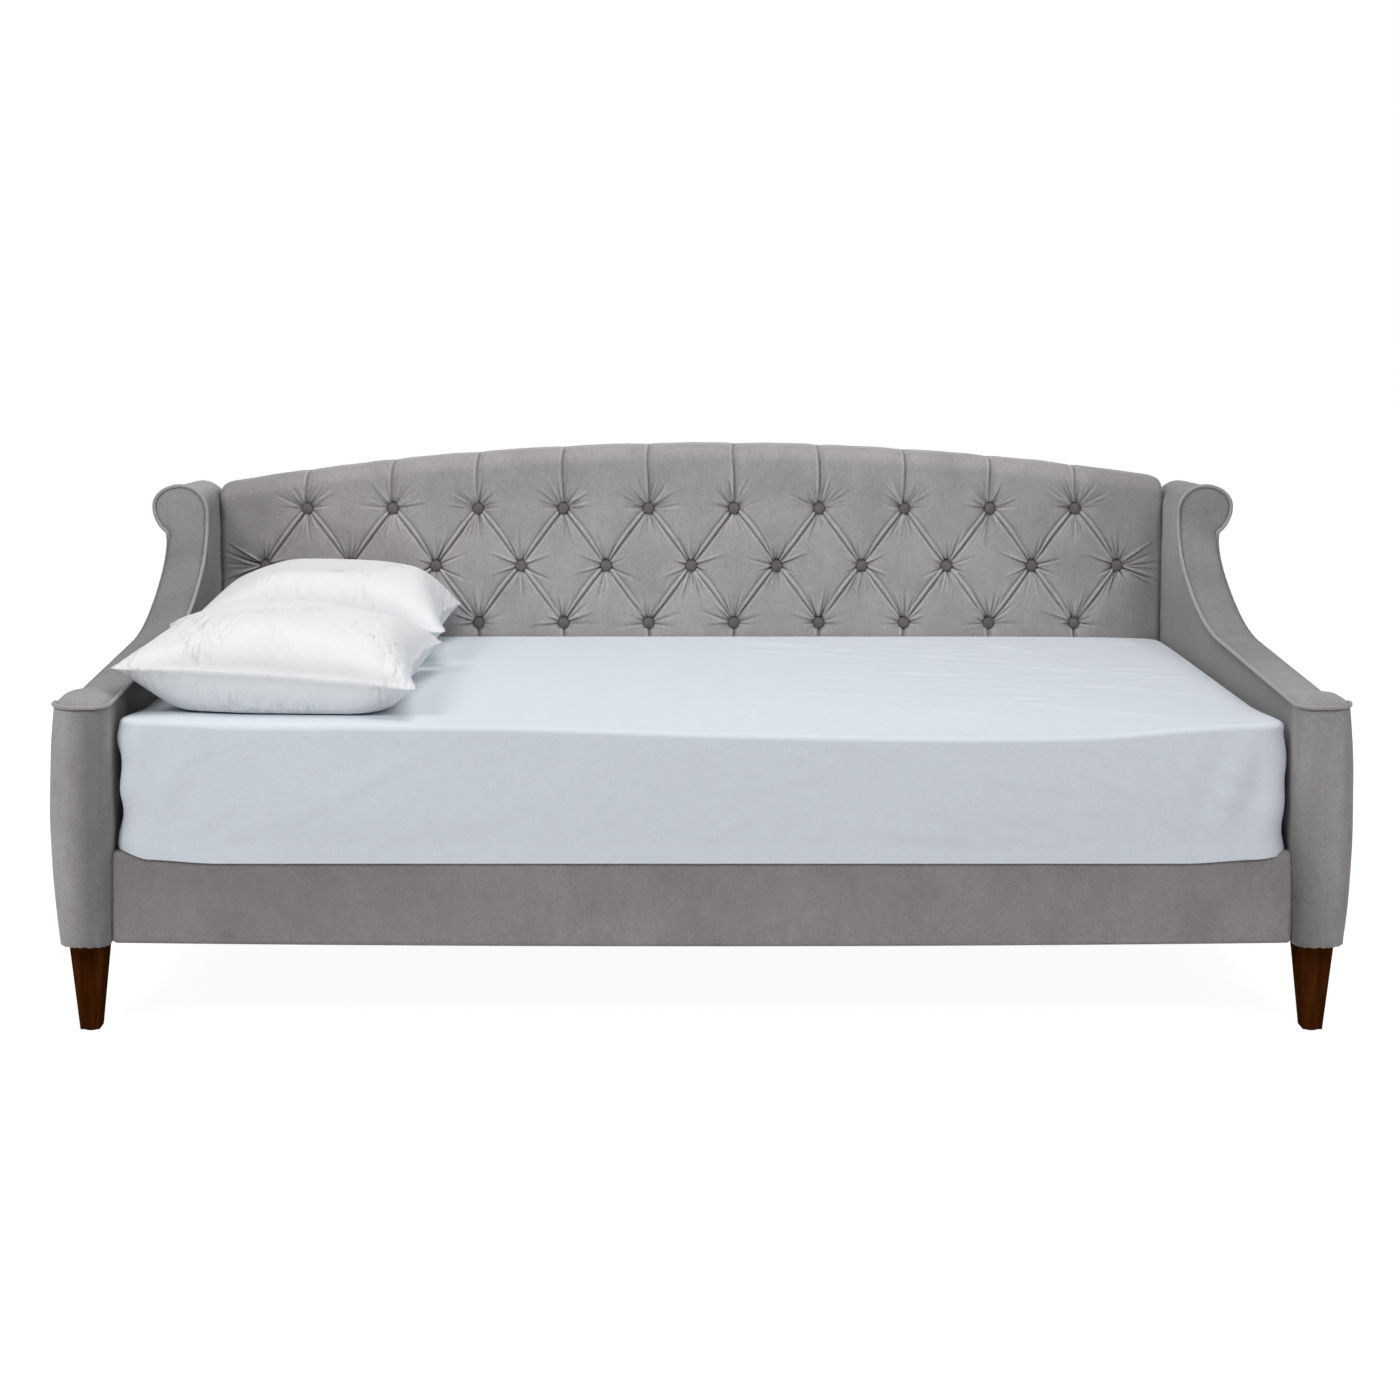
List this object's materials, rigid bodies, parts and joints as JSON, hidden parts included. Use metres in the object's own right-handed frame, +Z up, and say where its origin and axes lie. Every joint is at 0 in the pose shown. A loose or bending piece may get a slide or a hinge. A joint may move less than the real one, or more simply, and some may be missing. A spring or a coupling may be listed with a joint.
{
  "type": "daybed",
  "caption": "Upholstered daybed with a button-tufted arched back, sloped arms with rolled wings, tapered wood legs, slatted deck, mattress and pillows.",
  "frame": {"origin": "on the floor, under the middle of the daybed's plan", "axes": "+X along the daybed to the right as seen from the front, +Y to the back, +Z up"},
  "size_m": [2.146, 1.086, 0.895],
  "materials": {
    "velvet": "matte",
    "button_velvet": "matte",
    "welt_velvet": "matte",
    "sheet_cotton": "matte",
    "pillow_cotton": "matte",
    "ticking": "matte",
    "walnut": "satin",
    "pine": "matte",
    "plywood": "matte",
    "steel": "satin",
    "nylon": "matte",
    "twine": "matte",
    "webbing": "matte"
  },
  "bodies": {
    "frame": {"back_bottom_rail": "pine", "back_outside_panel": "velvet", "back_pad": "velvet", "back_stiles": "pine", "back_top_rail": "pine", "back_tuft_board": "plywood", "beam_hangers": "steel", "bed_slats": "pine", "centre_beam": "pine", "corner_brackets": "steel", "frame_bolts": "steel", "frame_insert_nuts": "steel", "front_rail_board": "pine", "front_rail_pad": "velvet", "front_slat_ledge": "pine", "left_arm_blocks": "pine", "left_arm_facing": "velvet", "left_arm_inner_panel": "plywood", "left_arm_inside_pad": "velvet", "left_arm_outer_panel": "plywood", "left_arm_outside_pad": "velvet", "left_arm_welts": "welt_velvet", "left_front_leg": "walnut", "left_post_pad": "velvet", "left_rear_leg": "walnut", "left_support_leg": "pine", "left_wing_roll": "velvet", "leg_glides": "nylon", "leg_hanger_bolts": "steel", "leg_insert_nuts": "steel", "rear_slat_ledge": "pine", "right_arm_blocks": "pine", "right_arm_facing": "velvet", "right_arm_inner_panel": "plywood", "right_arm_inside_pad": "velvet", "right_arm_outer_panel": "plywood", "right_arm_outside_pad": "velvet", "right_arm_welts": "welt_velvet", "right_front_leg": "walnut", "right_post_pad": "velvet", "right_rear_leg": "walnut", "right_support_leg": "pine", "right_wing_roll": "velvet", "slat_straps": "webbing", "tuft_buttons_lower": "button_velvet", "tuft_buttons_middle": "button_velvet", "tuft_buttons_upper": "button_velvet", "tuft_ties": "twine", "wood_screws": "steel"},
    "mattress": {"mattress": "ticking", "fitted_sheet": "sheet_cotton"},
    "front_pillow": {"front_pillow": "pillow_cotton"},
    "rear_pillow": {"rear_pillow": "pillow_cotton"},
    "left_leveller": {"left_levelling_foot": "steel"},
    "right_leveller": {"right_levelling_foot": "steel"}
  },
  "joints": [
    {"name": "mattress_lift", "type": "slide", "parent": "frame", "child": "mattress", "axis": [0, 0, 1], "range_m": [0, 0.62]},
    {"name": "front_pillow_lift", "type": "slide", "parent": "mattress", "child": "front_pillow", "axis": [0, 0, 1], "range_m": [0, 0.5]},
    {"name": "rear_pillow_lift", "type": "slide", "parent": "mattress", "child": "rear_pillow", "axis": [0, 0, 1], "range_m": [0, 0.5]},
    {"name": "left_foot_screw", "type": "slide", "parent": "frame", "child": "left_leveller", "axis": [0, 0, 1], "range_m": [-0.01, 0.015]},
    {"name": "right_foot_screw", "type": "slide", "parent": "frame", "child": "right_leveller", "axis": [0, 0, 1], "range_m": [-0.01, 0.015]}
  ]
}
